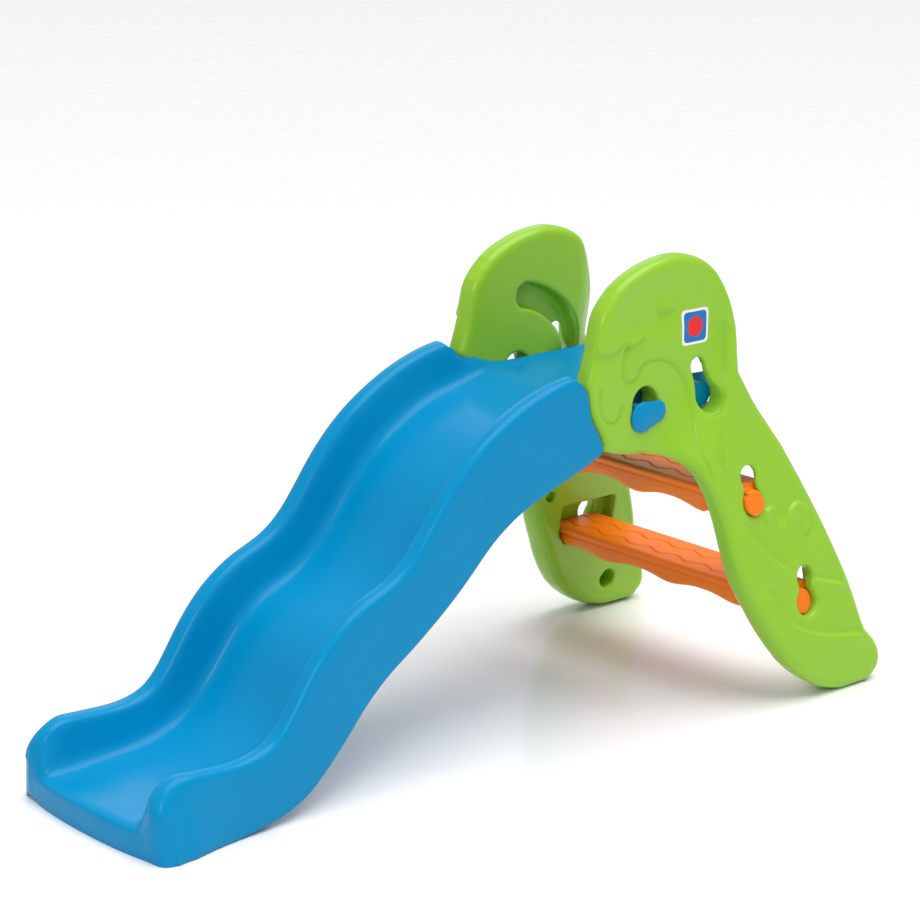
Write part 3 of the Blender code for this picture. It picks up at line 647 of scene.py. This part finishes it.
class SLIDE_OT_steps(bpy.types.Operator):
    """Softens the steps and presses grooves into their tops and fronts"""
    bl_idname = "toddler_slide.steps"
    bl_label = "Steps"

    def execute(self, context):
        sizes = context.scene.slide_sizes
        colours = context.scene.slide_colours
        orange = plastic("orange moulded plastic", colours.orange, roughness=0.32, gloss_level=0.25)
        for node, (front, rear, top) in STEP_SPANS.items():
            step = merged_copy(node, node + "_shell")
            apply_modifier(step, 'REMESH', mode='VOXEL', voxel_size=sizes.step_voxel)
            apply_modifier(step, 'SMOOTH', factor=SOFTENING, iterations=STEP_ROUNDS)
            places, normals = mesh_arrays(step)
            upper = (normals[:, 2] > TOP_FACING) & (places[:, 2] > top - TOP_DEPTH)
            flat = places[upper]
            swing = sizes.grip_wave * np.sin(2 * math.pi * (flat[:, 1] - sizes.grip_start) / sizes.grip_pitch)
            for share in GRIP_SHARES:
                middle = front + share * (rear - front) + swing
                cut = 1.0 - smoothstep(np.abs(flat[:, 0] - middle) / sizes.grip_width)
                flat[:, 2] -= sizes.grip_depth * cut
            places[upper] = flat
            drop = np.abs(top - sizes.front_groove_drop - places[:, 2])
            facing = np.clip(-normals[:, 0], 0.0, 1.0)
            cut = (1.0 - smoothstep(drop / sizes.front_groove_width)) * facing
            places[:, 0] += sizes.front_groove * cut
            set_places(step, places)
            smooth_shaded(step, MOULD_SHADE)
            settle(step, node, "ladder", [orange])
        return {'FINISHED'}


class SLIDE_OT_label(bpy.types.Operator):
    """Lays a plain white, blue and red label on the near panel"""
    bl_idname = "toddler_slide.label"
    bl_label = "Label"

    def execute(self, context):
        sizes = context.scene.slide_sizes
        colours = context.scene.slide_colours
        panel = bpy.data.objects["left_panel_shell"]
        bpy.ops.mesh.primitive_grid_add(
            x_subdivisions=sizes.label_cells, y_subdivisions=sizes.label_cells, size=2.0)
        label = bpy.context.object
        label.name = "panel_label"
        places, _ = mesh_arrays(label)
        rings = np.array([max(abs(c) for c in face.center[:2]) for face in label.data.polygons])
        slots = np.where(rings > 1.0 - sizes.label_border, 0, np.where(rings < sizes.label_dot, 2, 1))
        label.data.polygons.foreach_set("material_index", slots)
        flat = self.rounded(places[:, :2], sizes) * sizes.label_width / 2
        sheet = np.full(len(flat), LABEL_SHEET_Y)
        set_places(label, np.column_stack([LABEL_PLACE[0] + flat[:, 0], sheet, LABEL_PLACE[1] + flat[:, 1]]))
        apply_modifier(label, 'SHRINKWRAP', target=panel, wrap_method='PROJECT', use_project_y=True,
                       use_positive_direction=True, offset=sizes.label_thickness)
        apply_modifier(label, 'SOLIDIFY', thickness=SHEET_DEPTH * sizes.label_thickness, offset=-1.0)
        smooth_shaded(label, LABEL_SHADE)
        settle(label, None, "ladder",
               [plastic("label white print", colours.label_white, roughness=0.35, speckle=0.01),
                plastic("label blue print", colours.label_blue, roughness=0.35, speckle=0.02),
                plastic("label red print", colours.label_red, roughness=0.35, speckle=0.02)])
        return {'FINISHED'}

    def rounded(self, square, sizes):
        """Draws the squares of a grid in, the outer ones to squares with round
        corners and the inner ones to circles."""
        ring = np.abs(square).max(axis=1, keepdims=True)
        to_edge = smoothstep((ring - sizes.label_dot) / (1.0 - sizes.label_border - sizes.label_dot))
        corner = 1.0 + (sizes.label_corner - 1.0) * to_edge
        core = np.sign(square) * ring * (1.0 - corner)
        off = square - core
        outside = (np.abs(square) > ring * (1.0 - corner)).all(axis=1, keepdims=True)
        length = np.maximum(np.linalg.norm(off, axis=1, keepdims=True), TINY)
        return np.where(outside, core + off / length * ring * corner, square)


class SLIDE_OT_studio(bpy.types.Operator):
    """Sets up the pale floor, the soft lights and the camera"""
    bl_idname = "toddler_slide.studio"
    bl_label = "Studio"

    def execute(self, context):
        colours = context.scene.slide_colours
        bpy.ops.mesh.primitive_plane_add(size=FLOOR_SIZE, location=(0, 0, 0))
        floor = bpy.context.object
        floor.name = "studio_floor"
        floor.data.materials.append(
            plastic("studio floor paint", colours.floor, roughness=0.16, speckle=0.004))
        for name, place, target, size, power in SOFTBOXES:
            self.light(name, place, target, size, power)
        bpy.ops.object.light_add(type='SUN', location=SUN_PLACE)
        sky = bpy.context.object
        sky.name = "overhead"
        sky.data.energy = SUN_POWER
        sky.data.angle = math.radians(SUN_SPREAD)
        self.aim(sky, (0.0, 0.0, 0.0))
        world = bpy.data.worlds.new("studio")
        world.use_nodes = True
        world.node_tree.nodes["Background"].inputs["Color"].default_value = (1.0, 1.0, 1.0, 1.0)
        world.node_tree.nodes["Background"].inputs["Strength"].default_value = WORLD_LIGHT
        context.scene.world = world
        context.scene.view_settings.view_transform = 'Standard'
        bpy.ops.object.camera_add(location=CAMERA_PLACE)
        camera = bpy.context.object
        camera.name = "photo_camera"
        camera.data.lens = CAMERA_LENS
        camera.data.sensor_width = CAMERA_SENSOR
        self.aim(camera, CAMERA_TARGET)
        context.scene.camera = camera
        return {'FINISHED'}

    def aim(self, obj, target):
        """Turns a lamp or camera towards a place."""
        way = Vector(target) - obj.location
        obj.rotation_euler = way.to_track_quat('-Z', 'Y').to_euler()

    def light(self, name, place, target, size, power):
        """A square lamp of this size and power."""
        bpy.ops.object.light_add(type='AREA', location=place)
        lamp = bpy.context.object
        lamp.name = name
        lamp.data.size = size
        lamp.data.energy = power
        self.aim(lamp, target)


class VIEW3D_PT_toddler_slide(bpy.types.Panel):
    """Lists the pieces of the toddler slide"""
    bl_label = "Toddler Slide"
    bl_idname = "VIEW3D_PT_toddler_slide"
    bl_space_type = 'VIEW_3D'
    bl_region_type = 'UI'
    bl_category = "Toddler Slide"

    def draw(self, context):
        for group in (context.scene.slide_sizes, context.scene.slide_colours):
            box = self.layout.box()
            for name in group.__annotations__:
                box.prop(group, name)
        for operator in OPERATORS:
            self.layout.operator(operator.bl_idname)


OPERATORS = (SLIDE_OT_chute, SLIDE_OT_panels, SLIDE_OT_steps, SLIDE_OT_label, SLIDE_OT_studio)
CLASSES = (SlideSizes, SlideColours) + OPERATORS + (VIEW3D_PT_toddler_slide,)


def register():
    for cls in CLASSES:
        bpy.utils.register_class(cls)
    bpy.types.Scene.slide_sizes = bpy.props.PointerProperty(type=SlideSizes)
    bpy.types.Scene.slide_colours = bpy.props.PointerProperty(type=SlideColours)


def unregister():
    del bpy.types.Scene.slide_colours
    del bpy.types.Scene.slide_sizes
    for cls in reversed(CLASSES):
        bpy.utils.unregister_class(cls)


def main():
    register()
    bpy.ops.toddler_slide.chute()
    bpy.ops.toddler_slide.panels()
    bpy.ops.toddler_slide.steps()
    bpy.ops.toddler_slide.label()
    bpy.ops.toddler_slide.studio()


if __name__ == "__main__":
    main()
